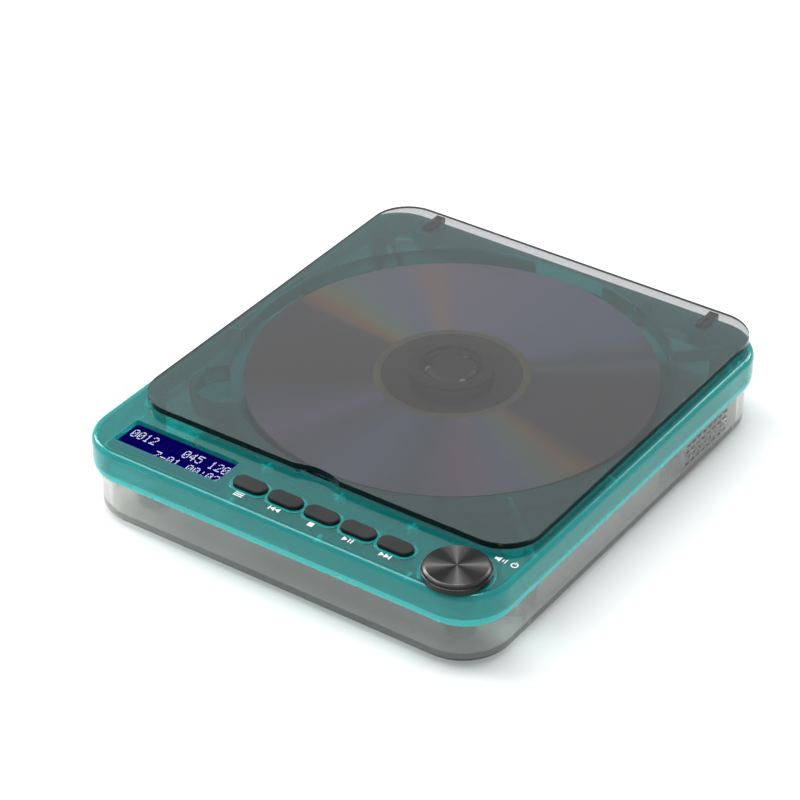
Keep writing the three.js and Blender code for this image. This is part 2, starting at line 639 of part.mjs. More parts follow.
addPiece('battery', block(37, 63, -44, 20, 3, 12.4), material.foil);
const speakerFrame = block(60, 64.4, 29.6, 53.4, 3.2, 13.6);
addPiece('speaker', cut(speakerFrame, block(63.2, 70, 31, 52, 4.8, 12.4)), material.black);
addPiece('lid_switch', block(-3, 3, -58.4, -54.8, 19.6, 22.8), material.chip);

export default player;
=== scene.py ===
import math
import bmesh
import bpy
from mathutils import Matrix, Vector


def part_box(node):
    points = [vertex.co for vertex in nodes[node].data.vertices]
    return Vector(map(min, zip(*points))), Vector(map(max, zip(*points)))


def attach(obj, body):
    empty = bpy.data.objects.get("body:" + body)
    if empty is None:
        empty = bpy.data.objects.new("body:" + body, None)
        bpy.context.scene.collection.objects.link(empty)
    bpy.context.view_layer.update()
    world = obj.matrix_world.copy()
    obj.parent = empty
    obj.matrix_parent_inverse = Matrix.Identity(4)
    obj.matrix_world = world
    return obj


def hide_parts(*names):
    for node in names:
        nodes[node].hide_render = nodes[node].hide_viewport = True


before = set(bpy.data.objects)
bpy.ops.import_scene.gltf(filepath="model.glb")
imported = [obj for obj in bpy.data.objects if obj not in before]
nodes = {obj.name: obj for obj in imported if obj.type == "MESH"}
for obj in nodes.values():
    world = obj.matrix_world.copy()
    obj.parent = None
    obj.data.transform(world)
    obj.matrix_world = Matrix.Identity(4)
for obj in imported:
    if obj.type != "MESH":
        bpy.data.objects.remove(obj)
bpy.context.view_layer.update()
mm = 0.001
print("frame loaded:", len(nodes), "nodes")


# camera, floor and lights
camera = {"target": (-19.0, 12.05, 5.8), "azimuth": 34.853, "elevation": 34.409, "roll": -0.212,
          "distance": 871.45, "lens": 133.1, "sensor": 36, "nearest": 0.01, "farthest": 50}


def addCamera():
    data = bpy.data.cameras.new("camera")
    data.lens = camera["lens"]
    data.sensor_width = camera["sensor"]
    data.clip_start = camera["nearest"]
    data.clip_end = camera["farthest"]
    view = bpy.data.objects.new("camera", data)
    bpy.context.collection.objects.link(view)
    turn = math.radians(camera["azimuth"])
    rise = math.radians(camera["elevation"])
    back = Vector((math.sin(turn) * math.cos(rise), -math.cos(turn) * math.cos(rise), math.sin(rise)))
    view.location = (Vector(camera["target"]) + back * camera["distance"]) * mm
    aim = (-back).to_track_quat("-Z", "Y").to_euler()
    aim.rotate_axis("Z", math.radians(camera["roll"]))
    view.rotation_euler = aim
    bpy.context.scene.camera = view


studio = {"worldWhite": (1.0, 1.0, 1.0), "worldStrength": 0.56, "floorSize": 12.0}


def setWorld():
    world = bpy.data.worlds.new("studio")
    bpy.context.scene.world = world
    world.use_nodes = True
    sky = world.node_tree.nodes["Background"]
    sky.inputs["Color"].default_value = (*studio["worldWhite"], 1)
    sky.inputs["Strength"].default_value = studio["worldStrength"]


# name, place in metres, aimed at the player, size of the panel, watts
panels = [
    {"name": "overheadPanel", "at": (-0.28, -0.1, 1.25), "size": (0.4, 1.4), "watts": 12.5},
    {"name": "leftPanel", "at": (-1.25, 0.1, 0.75), "size": (0.4, 0.7), "watts": 9.0},
    {"name": "rightPanel", "at": (0.35, 1.25, 0.75), "size": (0.4, 0.7), "watts": 6.0},
    {"name": "backPanel", "at": (-0.75, 1.08, 0.9), "size": (1.0, 1.0), "watts": 1.35},
]


def addPanels():
    for panel in panels:
        data = bpy.data.lights.new(panel["name"], "AREA")
        data.shape = "RECTANGLE"
        data.size, data.size_y = panel["size"]
        data.energy = panel["watts"]
        lamp = bpy.data.objects.new(panel["name"], data)
        bpy.context.collection.objects.link(lamp)
        lamp.location = panel["at"]
        lamp.rotation_euler = (Vector((0, 0, 0)) - Vector(panel["at"])).to_track_quat("-Z", "Y").to_euler()


# modelling helpers
samePlace = 1e-6  # metres
levelNormal = 0.99  # how far up or down a level face's normal points


def deselectAll():
    if bpy.context.object and bpy.context.object.mode != "OBJECT":
        bpy.ops.object.mode_set(mode="OBJECT")
    bpy.ops.object.select_all(action="DESELECT")


def finishPlace(piece):
    deselectAll()
    piece.select_set(True)
    bpy.context.view_layer.objects.active = piece
    bpy.ops.object.transform_apply(location=True, rotation=True, scale=True)


def startBlock(name, low, high):
    deselectAll()
    low, high = Vector(low) * mm, Vector(high) * mm
    bpy.ops.mesh.primitive_cube_add(size=1, location=(low + high) / 2)
    piece = bpy.context.object
    piece.name = name
    piece.scale = high - low
    finishPlace(piece)
    return piece


def startRound(name, centre, radius, low, high, sides=96):
    deselectAll()
    place = Vector((centre[0], centre[1], (low + high) / 2)) * mm
    bpy.ops.mesh.primitive_cylinder_add(vertices=sides, radius=radius * mm, depth=(high - low) * mm,
                                        location=place)
    piece = bpy.context.object
    piece.name = name
    finishPlace(piece)
    return piece


def pick(piece, kind, test):
    deselectAll()
    piece.select_set(True)
    bpy.context.view_layer.objects.active = piece
    bpy.ops.object.mode_set(mode="EDIT")
    bpy.ops.mesh.select_mode(type=kind)
    bpy.ops.mesh.select_all(action="DESELECT")
    shape = bmesh.from_edit_mesh(piece.data)
    parts = {"VERT": shape.verts, "EDGE": shape.edges, "FACE": shape.faces}[kind]
    for part in parts:
        if test(part):
            part.select_set(True)
    bmesh.update_edit_mesh(piece.data)


def leaveEdit():
    bpy.ops.object.mode_set(mode="OBJECT")


def isUpright(edge):
    start, end = (v.co for v in edge.verts)
    return abs(start.x - end.x) < samePlace and abs(start.y - end.y) < samePlace


def facesUp(face):
    return face.normal.z > levelNormal


def facesDown(face):
    return face.normal.z < -levelNormal


def facesEitherWay(face):
    return abs(face.normal.z) > levelNormal


def roundCorners(piece, radius, segments=14):
    pick(piece, "EDGE", isUpright)
    bpy.ops.mesh.bevel(offset=radius * mm, segments=segments, affect="EDGES", clamp_overlap=False)
    leaveEdit()


def shapeFace(piece, test, profile):
    pick(piece, "FACE", test)
    for inward, rise in profile:
        bpy.ops.mesh.inset(thickness=inward * mm, depth=rise * mm, use_even_offset=True)
    leaveEdit()


def quarterRound(inward, rise, steps=5):
    turns = [math.pi / 2 * step / steps for step in range(steps + 1)]
    return [(inward * (math.cos(a) - math.cos(b)), rise * (math.sin(b) - math.sin(a)))
            for a, b in zip(turns, turns[1:])]


def plate(name, outline, low, high, radius, segments=14):
    left, right, front, rear = outline
    piece = startBlock(name, (left, front, low), (right, rear, high))
    roundCorners(piece, radius, segments)
    return piece


def twinOf(piece, name):
    twin = piece.copy()
    twin.data = piece.data.copy()
    twin.name = name
    bpy.context.collection.objects.link(twin)
    return twin


def copyTo(piece, name, shift):
    twin = twinOf(piece, name)
    twin.location = Vector(shift) * mm
    finishPlace(twin)
    return twin


def applyStep(piece, step):
    deselectAll()
    bpy.context.view_layer.objects.active = piece
    bpy.ops.object.modifier_apply(modifier=step.name)


def openSide(piece, test):
    pick(piece, "FACE", test)
    bpy.ops.mesh.delete(type="FACE")
    leaveEdit()


def giveWall(piece, thickness):
    wall = piece.modifiers.new("wall", "SOLIDIFY")
    wall.thickness = thickness * mm
    wall.offset = -1
    wall.use_even_offset = True
    applyStep(piece, wall)


def joinShapes(piece, tool, operation):
    step = piece.modifiers.new(operation.lower(), "BOOLEAN")
    step.operation = operation
    step.solver = "EXACT"
    step.object = tool
    applyStep(piece, step)
    bpy.data.objects.remove(tool)


def cutAway(piece, *tools):
    for tool in tools:
        joinShapes(piece, tool, "DIFFERENCE")


def addOn(piece, *tools):
    for tool in tools:
        joinShapes(piece, tool, "UNION")


def smooth(piece, degrees=35):
    deselectAll()
    piece.select_set(True)
    bpy.context.view_layer.objects.active = piece
    bpy.ops.object.shade_smooth_by_angle(angle=math.radians(degrees))
    even = piece.modifiers.new("evenShading", "WEIGHTED_NORMAL")
    even.keep_sharp = True
    applyStep(piece, even)


def paint(piece, *materials):
    piece.data.materials.clear()
    for material in materials:
        piece.data.materials.append(material)


def paintFaces(piece, index, test):
    for face in piece.data.polygons:
        if test(face):
            face.material_index = index


def seat(piece, body, slotName, *replaced):
    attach(piece, body)
    if replaced:
        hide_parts(*replaced)


# materials
def newMaterial(name):
    material = bpy.data.materials.new(name)
    material.use_nodes = True
    tree = material.node_tree
    return material, tree.nodes, tree.links, tree.nodes["Principled BSDF"]


def setSockets(shader, values):
    for socket, value in values.items():
        shader.inputs[socket].default_value = value


def objectPlace(nodeList):
    return nodeList.new("ShaderNodeTexCoord").outputs["Object"]


grainHeight = 0.00002  # metres


def cloudy(nodeList, links, scale, detail):
    noise = nodeList.new("ShaderNodeTexNoise")
    noise.inputs["Scale"].default_value = scale
    noise.inputs["Detail"].default_value = detail
    links.new(objectPlace(nodeList), noise.inputs["Vector"])
    return noise.outputs["Fac"]


def roughen(nodeList, links, shader, height, strength):
    bump = nodeList.new("ShaderNodeBump")
    bump.inputs["Strength"].default_value = strength
    bump.inputs["Distance"].default_value = grainHeight
    links.new(height, bump.inputs["Height"])
    links.new(bump.outputs["Normal"], shader.inputs["Normal"])


def addGrain(nodeList, links, shader, scale, strength):
    roughen(nodeList, links, shader, cloudy(nodeList, links, scale, 5), strength)


def varyRoughness(nodeList, links, shader, scale, low, high):
    spread = nodeList.new("ShaderNodeMapRange")
    spread.inputs["To Min"].default_value = low
    spread.inputs["To Max"].default_value = high
    links.new(cloudy(nodeList, links, scale, 6), spread.inputs["Value"])
    links.new(spread.outputs["Result"], shader.inputs["Roughness"])


def varyColour(nodeList, links, shader, scale, first, second):
    ramp = nodeList.new("ShaderNodeValToRGB")
    ramp.color_ramp.elements[0].position = 0.35
    ramp.color_ramp.elements[0].color = (*first, 1)
    ramp.color_ramp.elements[1].position = 0.65
    ramp.color_ramp.elements[1].color = (*second, 1)
    links.new(cloudy(nodeList, links, scale, 4), ramp.inputs["Fac"])
    links.new(ramp.outputs["Color"], shader.inputs["Base Color"])


def letLampsThrough(nodeList, links, shader, tint):
    path = nodeList.new("ShaderNodeLightPath")
    clear = nodeList.new("ShaderNodeBsdfTransparent")
    clear.inputs["Color"].default_value = (*tint, 1)
    blend = nodeList.new("ShaderNodeMixShader")
    links.new(path.outputs["Is Shadow Ray"], blend.inputs["Fac"])
    links.new(shader.outputs["BSDF"], blend.inputs[1])
    links.new(clear.outputs["BSDF"], blend.inputs[2])
    links.new(blend.outputs["Shader"], nodeList["Material Output"].inputs["Surface"])


# scale of the cloudy colour and gloss, and how far each strays
mouldedLook = {"colourScale": 60, "glossScale": 140, "smoother": 0.05, "rougher": 0.07}
clearLook = {"colourScale": 25, "glossScale": 90, "darker": 0.96, "smoother": 0.7, "rougher": 1.4}


def moulded(name, first, second, rough, grain=900, bump=0.15, extra=None):
    material, nodeList, links, shader = newMaterial(name)
    varyColour(nodeList, links, shader, mouldedLook["colourScale"], first, second)
    varyRoughness(nodeList, links, shader, mouldedLook["glossScale"], rough - mouldedLook["smoother"],
                  rough + mouldedLook["rougher"])
    addGrain(nodeList, links, shader, grain, bump)
    setSockets(shader, extra or {})
    return material


def seeThrough(name, colour, transmission, rough, lampTint, ior=1.5, gloss=0.5, grain=(350, 0.05)):
    material, nodeList, links, shader = newMaterial(name)
    darker = [part * clearLook["darker"] for part in colour]
    varyColour(nodeList, links, shader, clearLook["colourScale"], darker, colour)
    varyRoughness(nodeList, links, shader, clearLook["glossScale"], rough * clearLook["smoother"],
                  rough * clearLook["rougher"])
    addGrain(nodeList, links, shader, *grain)
    setSockets(shader, {"Transmission Weight": transmission, "IOR": ior, "Specular IOR Level": gloss})
    letLampsThrough(nodeList, links, shader, lampTint)
    return material


tealPlastic = seeThrough("clearTealPlastic", (0.008, 0.37, 0.36), 0.82, 0.10, (0.66, 0.75, 0.75), gloss=0.18)
# lighter copy of the teal plastic: painted light on the lips, fillet and walls where the thick plastic
# carries light
tealRimPaintedLight = seeThrough("clearTealPaintedLight", (0.014, 0.47, 0.455), 0.62, 0.15, (0.68, 0.77, 0.77), gloss=0.3)
# brighter copy of the teal plastic: painted glow on the deck's lower rounded edge
tealEdgePaintedGlow = seeThrough("clearTealPaintedGlow", (0.05, 0.66, 0.63), 0.35, 0.25, (0.65, 0.80, 0.80), gloss=0.25)
# much lighter copy of the teal plastic: painted light on the ribs, crosses and bosses inside the deck
tealMouldingPaintedLight = seeThrough("clearTealMouldingPaintedLight", (0.16, 0.86, 0.83), 0.1, 0.3, (0.75, 0.85, 0.85),
                          gloss=0.25)
greyPlastic = seeThrough("clearGreyPlastic", (0.74, 0.73, 0.71), 0.88, 0.12, (0.90, 0.89, 0.88), gloss=0.35)
# dark copy of the grey plastic: painted shade on the base's bottom rounding
greyEdgePaintedShade = seeThrough("clearGreyPaintedShade", (0.13, 0.13, 0.125), 0.6, 0.15, (0.7, 0.7, 0.68), gloss=0.3)
smokedSheet = seeThrough("smokedAcrylic", (0.44, 0.44, 0.45), 1.0, 0.01, (0.46, 0.46, 0.46), 1.49,
                         grain=(30, 0.02))
smokedEdge = moulded("smokedAcrylicEdge", (0.004, 0.004, 0.005), (0.007, 0.007, 0.008), 0.18)
blackPlastic = moulded("blackPlastic", (0.010, 0.010, 0.011), (0.018, 0.018, 0.019), 0.38)
keyRubberTop = moulded("charcoalRubber", (0.018, 0.020, 0.020), (0.028, 0.030, 0.030), 0.6, 1500, 0.35,
                       {"Specular IOR Level": 0.2})
# darker copy of the charcoal rubber: painted shade on the key sides, which are also glossier
keyRubberPaintedShadeSide = moulded("charcoalRubberPaintedShade", (0.006, 0.006, 0.007), (0.010, 0.010, 0.011), 0.4, 1200, 0.2,
                        {"Specular IOR Level": 0.3})
steel = moulded("groundSteel", (0.55, 0.56, 0.57), (0.66, 0.67, 0.68), 0.28, 2000, 0.2, {"Metallic": 1.0})
brass = moulded("brass", (0.62, 0.45, 0.18), (0.72, 0.54, 0.24), 0.3, 2000, 0.2, {"Metallic": 1.0})
bareMetal = moulded("pressedMetal", (0.42, 0.43, 0.45), (0.52, 0.53, 0.55), 0.42, 1500, 0.3,
                    {"Metallic": 0.9})
greenBoard = moulded("greenBoard", (0.010, 0.085, 0.045), (0.016, 0.12, 0.06), 0.4)
chipPlastic = moulded("chipPlastic", (0.012, 0.012, 0.013), (0.022, 0.022, 0.023), 0.5)
whitePlastic = moulded("whitePlastic", (0.62, 0.63, 0.61), (0.70, 0.71, 0.69), 0.45)
footRubber = moulded("footRubber", (0.012, 0.012, 0.013), (0.022, 0.022, 0.023), 0.8, 1800, 0.4)
whiteInk = moulded("whiteInk", (0.82, 0.84, 0.84), (0.90, 0.91, 0.91), 0.5)
litDots = moulded("litDots", (0.55, 0.58, 0.75), (0.62, 0.66, 0.82), 0.4,
                  extra={"Emission Color": (0.75, 0.80, 1.0, 1), "Emission Strength": 0.25})
lensGlass = seeThrough("coatedLens", (0.45, 0.5, 0.8), 0.9, 0.03, (0.8, 0.85, 0.95))
print("materials made")

nodeFinish = {
    "foot": footRubber, "case_screw": steel, "hinge_pin": steel, "lid_pad_ring": blackPlastic,
    "key_board": greenBoard, "main_board": greenBoard, "volume_control": bareMetal,
    "volume_shaft": whitePlastic, "display_light_box": whitePlastic, "turntable": blackPlastic,
    "hub_ball": steel, "spindle_motor": bareMetal, "mechanism_chassis": bareMetal,
    "damper": footRubber, "guide_rail": steel, "optical_pickup": blackPlastic,
    "objective_lens": lensGlass, "lead_screw": steel, "screw_gear": whitePlastic,
    "motor_pinion": brass, "sled_motor": steel, "signal_chip": chipPlastic, "capacitor": bareMetal,
    "charge_socket": steel, "audio_jack": blackPlastic, "battery": bareMetal,
    "speaker": blackPlastic, "lid_switch": chipPlastic, "well_floor": tealPlastic,
}


def finishNodes():
    for name, piece in nodes.items():
        if name.endswith("_switch") and name != "lid_switch":
            paint(piece, chipPlastic)
        for start, material in nodeFinish.items():
            if name.startswith(start):
                paint(piece, material)


# upper case
spindlePlace = (0.0, 10.9)
screwPlaces = {"x": (-60.5, 60.5), "y": (-50, 60)}
cut = {"deep": 10, "low": 20, "top": 30, "rear": 80}  # how far the cutting shapes reach
deck = {"outline": (-68.6, 68.6, -77.7, 76.6), "bottom": 14.3, "top": 24.7, "corner": 14.5, "topRound": 2.0,
        "lowerInset": 1.2, "lowerRise": 3.0, "wall": 1.6, "wellRadius": 64.0, "wellWall": 1.2,
        "wallBottom": 19.3,
        "scoopAngle": 222.6, "scoopDistance": 65.0, "scoopRadius": 9.5,
        "window": (-58.4, -22.2, -71.2, -60.3), "windowCorner": 1.0,
        "notchHalfWidth": 7.5, "lidFront": -55.1, "notchDepth": 1.7, "stepDepth": 0.7, "stepRear": -50.5,
        "ringsBelowTop": 0.8, "edgeBand": 0.05, "knobHole": 3.5}
lips = {"below": 0.4, "above": 0.02, "rounding": (0.25, 0.16, 3), "keyMargin": 2.2, "knobMargin": 0.9}
hingeWell = {"x": 48.6, "half": 2, "front": 68.3, "floor": 18.9,
             "pocketHalf": 3.3, "pocketFront": 67.2, "pocketRear": 75.6, "pocketFloor": 17.9}
keyRow = {"firstX": -12.95, "pitch": 12.03, "y": -67.9, "length": 10.6, "width": 5.2, "bottom": 21.0,
          "top": 26.1, "edge": 0.55, "dish": (0.9, 0.04), "holeMargin": 0.5, "topNormal": 0.45}
keyNames = ["mode", "previous", "stop", "play", "next"]
knob = {"centre": (54.7, -68.1), "radius": 9.55, "bottom": 25.0, "flangeTop": 26.2, "sheenTurn": 35,
        "steps": [(0.12, 0.1), (0.38, 0.12), (0.01, 0.75), (0.06, 0.05), (0.55, 0.42), (0.08, 0.03),
                  (3.0, 0.0)],
        "chamferFrom": 27.1, "faceFrom": 27.5, "sheens": 4, "ringScale": 1500}


def keyX(index):
    return keyRow["firstX"] + index * keyRow["pitch"]


def scoopPlace():
    turn = math.radians(deck["scoopAngle"])
    return (spindlePlace[0] + deck["scoopDistance"] * math.cos(turn),
            spindlePlace[1] + deck["scoopDistance"] * math.sin(turn))


def stadium(name, x, y, length, width, low, high, segments=10):
    outline = (x - length / 2, x + length / 2, y - width / 2, y + width / 2)
    return plate(name, outline, low, high, width * 0.49, segments)


mouldings = {"ribAngles": [42, 66, 114, 138, 196, 318, 344], "ribLength": 25.5, "ribWidth": 1.0,
             "ribGap": 0.5, "crossX": [-15.7, 8.9, 32.7], "crossY": -56.8, "crossBottom": 21.3,
             "crossHalf": 1.8, "barHalf": 0.4, "gussetX": [-14.4, 15, 43.9], "gussetHalf": 0.5,
             "gussetReach": 3.2, "gussetDrop": 6, "gussetTaper": 3.0, "bossRadius": 3, "gap": 0.05}


def startRib(angle, low, high):
    turn = math.radians(angle)
    middle = deck["wellRadius"] + mouldings["ribGap"] + mouldings["ribLength"] / 2
    deselectAll()
    place = Vector((spindlePlace[0] + middle * math.cos(turn), spindlePlace[1] + middle * math.sin(turn),
                    (low + high) / 2))
    bpy.ops.mesh.primitive_cube_add(size=1, location=place * mm, rotation=(0, 0, turn))
    rib = bpy.context.object
    rib.scale = Vector((mouldings["ribLength"], mouldings["ribWidth"], high - low)) * mm
    finishPlace(rib)
    return rib


def startGusset(x, high):
    front = deck["outline"][2] + 1
    half = mouldings["gussetHalf"]
    web = startBlock("gusset", (x - half, front, high - mouldings["gussetDrop"]),
                     (x + half, front + mouldings["gussetReach"], high))
    pick(web, "VERT", lambda vert: vert.co.z < (high - 1) * mm and vert.co.y > (front + 1) * mm)
    bpy.ops.transform.translate(value=(0, -mouldings["gussetTaper"] * mm, 0))
    leaveEdit()
    return web


def joinPieces(pieces, name):
    deselectAll()
    for piece in pieces:
        piece.select_set(True)
    bpy.context.view_layer.objects.active = pieces[0]
    bpy.ops.object.join()
    pieces[0].name = name
    return pieces[0]


def startCross(x, high):
    y, low = mouldings["crossY"], mouldings["crossBottom"]
    long, thin = mouldings["crossHalf"], mouldings["barHalf"]
    cross = startBlock("cross", (x - long, y - thin, low), (x + long, y + thin, high))
    addOn(cross, startBlock("crossBar", (x - thin, y - long, low), (x + thin, y + long, high)))
    return cross


def startPocket(side, high):
    middle, half = side * hingeWell["x"], hingeWell["pocketHalf"]
    return startBlock("hingePocket", (middle - half, hingeWell["pocketFront"], hingeWell["pocketFloor"]),
                      (middle + half, hingeWell["pocketRear"], high))


def cutHingeWells(piece):
    for side in (-1, 1):
        middle, half = side * hingeWell["x"], hingeWell["half"]
        cutAway(piece, startBlock("hingeCut", (middle - half, hingeWell["front"], hingeWell["floor"]),
                                  (middle + half, cut["rear"], cut["top"])))


def insetOutline(gap):
    left, right, front, rear = deck["outline"]
    return left + gap, right - gap, front + gap, rear - gap


def makeMouldings():
    low = deck["wallBottom"]
    high = deck["top"] - deck["wall"] - mouldings["gap"]
    bossBottom = deck["bottom"] + 0.3
    pieces = [startRib(angle, low, high) for angle in mouldings["ribAngles"]]
    pieces += [startCross(x, high) for x in mouldings["crossX"]]
    pieces += [startGusset(x, high) for x in mouldings["gussetX"]]
    pieces += [startRound("screwBoss", (x, y), mouldings["bossRadius"], bossBottom, high, 32)
               for y in screwPlaces["y"] for x in screwPlaces["x"]]
    pieces += [startPocket(side, high) for side in (-1, 1)]
    group = joinPieces(pieces, "mouldings")
    gap = deck["wall"] + mouldings["gap"]
    inside = plate("inside", insetOutline(gap), cut["deep"], high, deck["corner"] - gap, 16)
    joinShapes(group, inside, "INTERSECT")
    cutHingeWells(group)
    smooth(group)
    # the mouldings are painted a much lighter teal as painted light, standing in for them being lit
    paint(group, tealMouldingPaintedLight)
    seat(group, "case", "teal_plastic")


def addWellWalls(cover):
    low, top = deck["wallBottom"], deck["top"] - deck["ringsBelowTop"]
    wellRing = startRound("wellRing", spindlePlace, deck["wellRadius"] + deck["wellWall"], low, top, 144)
    scoopRing = startRound("scoopRing", scoopPlace(), deck["scoopRadius"] + deck["wellWall"], low, top, 48)
    addOn(cover, wellRing, scoopRing)


def addLips(cover):
    low, high = deck["top"] - lips["below"], deck["top"] + lips["above"]
    length, width = keyRow["length"] + lips["keyMargin"], keyRow["width"] + lips["keyMargin"]
    for index in range(len(keyNames)):
        lip = stadium("keyLip", keyX(index), keyRow["y"], length, width, low, high)
        shapeFace(lip, facesUp, quarterRound(*lips["rounding"]))
        addOn(cover, lip)
    knobLip = startRound("knobLip", knob["centre"], knob["radius"] + lips["knobMargin"], low, high, 96)
    shapeFace(knobLip, facesUp, quarterRound(*lips["rounding"]))
    edge = deck["topRound"]
    flatTop = plate("flatTop", insetOutline(edge), cut["low"], cut["top"], deck["corner"] - edge, 16)
    joinShapes(knobLip, flatTop, "INTERSECT")
    addOn(cover, knobLip)


def cutDeckOpenings(cover):
    low, top = cut["low"], cut["top"]
    half = deck["notchHalfWidth"]
    length, width = keyRow["length"] + keyRow["holeMargin"], keyRow["width"] + keyRow["holeMargin"]
    cutAway(cover, startRound("wellCut", spindlePlace, deck["wellRadius"], cut["deep"], top, 144))
    cutAway(cover, startRound("scoopCut", scoopPlace(), deck["scoopRadius"], cut["deep"], top, 48))
    cutAway(cover, plate("windowCut", deck["window"], low, top, deck["windowCorner"], 5))
    for index in range(len(keyNames)):
        cutAway(cover, stadium("keyCut", keyX(index), keyRow["y"], length, width, low, top))
    cutAway(cover, startRound("knobCut", knob["centre"], deck["knobHole"], low, top, 32))
    cutAway(cover, startBlock("thumbStep", (-half, deck["lidFront"], deck["top"] - deck["stepDepth"]),
                              (half, deck["stepRear"], top)))
    cutHingeWells(cover)


# flat top, painted glow on the lower edge, then painted light on the lips, fillet and sides
def paintDeckCover(cover):
    paint(cover, tealPlastic, tealEdgePaintedGlow, tealRimPaintedLight)
    edgeTop = (deck["bottom"] + deck["lowerRise"] + deck["edgeBand"]) * mm
    lipTop = (deck["top"] + lips["above"] / 2) * mm
    filletLow = (deck["top"] - deck["topRound"]) * mm
    steep, flat = 0.1, 0.98
    # the lower edge gets the painted glow
    paintFaces(cover, 1, lambda face: face.center.z < edgeTop)
    # lips, fillet and walls get the lighter painted-light copy of the teal plastic
    paintFaces(cover, 2, lambda face: face.center.z > lipTop)
    paintFaces(cover, 2, lambda face: face.center.z > filletLow and steep < face.normal.z < flat)
    paintFaces(cover, 2, lambda face: face.center.z > edgeTop and abs(face.normal.z) < steep)


def makeDeckCover():
    rimBottom = deck["bottom"] + deck["lowerRise"]
    cover = plate("deckCover", deck["outline"], rimBottom, deck["top"] - deck["topRound"], deck["corner"], 16)
    shapeFace(cover, facesUp, quarterRound(deck["topRound"], deck["topRound"], 6))
    shapeFace(cover, facesDown, quarterRound(deck["lowerInset"], deck["lowerRise"], 6))
    openSide(cover, facesDown)
    giveWall(cover, deck["wall"])
    addWellWalls(cover)
    addLips(cover)
    cutDeckOpenings(cover)
    smooth(cover)
    paintDeckCover(cover)
    seat(cover, "case", "teal_plastic", "deck_shell")


# lower case
base = {"outline": (-67.3, 67.3, -76.4, 75.3), "bottom": 0.6, "top": 14.0, "corner": 15.2, "bottomRound": 2.5,
        "wall": 2.6, "slotRows": 4, "slotColumns": 8, "slotFirst": (30.2, 6), "slotPitch": (3, 2),
        "slotStagger": 0.6, "slotSize": (2, 0.9), "slotDepth": (60, 70),
        "screwRadius": 2.4, "screwDepth": 3.4,
        "footX": (-52, 52), "footY": (-62, 62), "footRadius": 4.3, "footDepth": 1.9}


def cutSlots(tub):
    inner, outer = base["slotDepth"]
    wide, tall = base["slotSize"]
    for row in range(base["slotRows"]):
        for column in range(base["slotColumns"]):
            y = base["slotFirst"][0] + column * base["slotPitch"][0] + (row % 2) * base["slotStagger"]
            z = base["slotFirst"][1] + row * base["slotPitch"][1]
            cutAway(tub, startBlock("slotCut", (inner, y, z), (outer, y + wide, z + tall)))


def makeBaseTub():
    low = base["bottom"] + base["bottomRound"]
    tub = plate("baseTub", base["outline"], low, base["top"], base["corner"], 16)
    shapeFace(tub, facesDown, quarterRound(base["bottomRound"], base["bottomRound"], 7))
    openSide(tub, facesUp)
    giveWall(tub, base["wall"])
    cutSlots(tub)
    for x in screwPlaces["x"]:
        for y in screwPlaces["y"]:
            cutAway(tub, startRound("screwCut", (x, y), base["screwRadius"], 0, base["screwDepth"], 32))
    for x in base["footX"]:
        for y in base["footY"]:
            cutAway(tub, startRound("footCut", (x, y), base["footRadius"], 0, base["footDepth"], 48))
    smooth(tub)
    # the bottom rounding is painted with the darker grey copy as painted shade near the floor
    paint(tub, greyPlastic, greyEdgePaintedShade)
    edgeTop = (base["bottom"] + base["bottomRound"] * 0.75) * mm
    paintFaces(tub, 1, lambda face: face.center.z < edgeTop and face.normal.z > -0.97)
    seat(tub, "case", "grey_plastic", "base_shell")


# lid
lid = {"outline": (-65.1, 65.1, -55.1, 77.7), "bottom": 25.4, "top": 27.35, "corner": 12.0, "edge": 0.15}


def makeLidSheet():
    edge = lid["edge"]
    sheet = plate("lidSheet", lid["outline"], lid["bottom"] + edge, lid["top"] - edge, lid["corner"], 16)
    depth, half = deck["notchDepth"], deck["notchHalfWidth"]
    radius = (half ** 2 + depth ** 2) / (2 * depth)
    middle = (0, deck["lidFront"] + depth - radius)
    cutAway(sheet, startRound("thumbCut", middle, radius, cut["low"], cut["top"], 128))
    shapeFace(sheet, facesUp, quarterRound(edge, edge, 2))
    shapeFace(sheet, facesDown, quarterRound(edge, edge, 2))
    smooth(sheet)
    paint(sheet, smokedSheet, smokedEdge)
    paintFaces(sheet, 1, lambda face: abs(face.normal.z) < 0.3)
    seat(sheet, "lid", "smoked_acrylic", "lid_plate")


hingeArm = {"bevel": 0.25, "bevelFrom": 40, "mergeWithin": 0.001, "flattenBelow": 2,
            "slotWidth": 0.9, "slot": (70.4, 73.6), "slotFloor": 24.5}


def makeHingeArms():
    for side, name in ((-1, "hinge_arm_left"), (1, "hinge_arm_right")):
        arm = twinOf(nodes[name], name + "Bevelled")
        pick(arm, "VERT", lambda vert: True)
        bpy.ops.mesh.remove_doubles(threshold=hingeArm["mergeWithin"] * mm)
        bpy.ops.mesh.dissolve_limited(angle_limit=math.radians(hingeArm["flattenBelow"]))
        leaveEdit()
        middle, half = side * hingeWell["x"], hingeArm["slotWidth"] / 2
        front, rear = hingeArm["slot"]
        cutAway(arm, startBlock("armSlot", (middle - half, front, hingeArm["slotFloor"]),
                                (middle + half, rear, cut["top"])))
        edges = arm.modifiers.new("edges", "BEVEL")
        edges.width = hingeArm["bevel"] * mm
        edges.segments = 2
        edges.limit_method = "ANGLE"
        edges.angle_limit = math.radians(hingeArm["bevelFrom"])
        applyStep(arm, edges)
        smooth(arm)
        paint(arm, blackPlastic)
        seat(arm, "lid", "black_plastic", name)


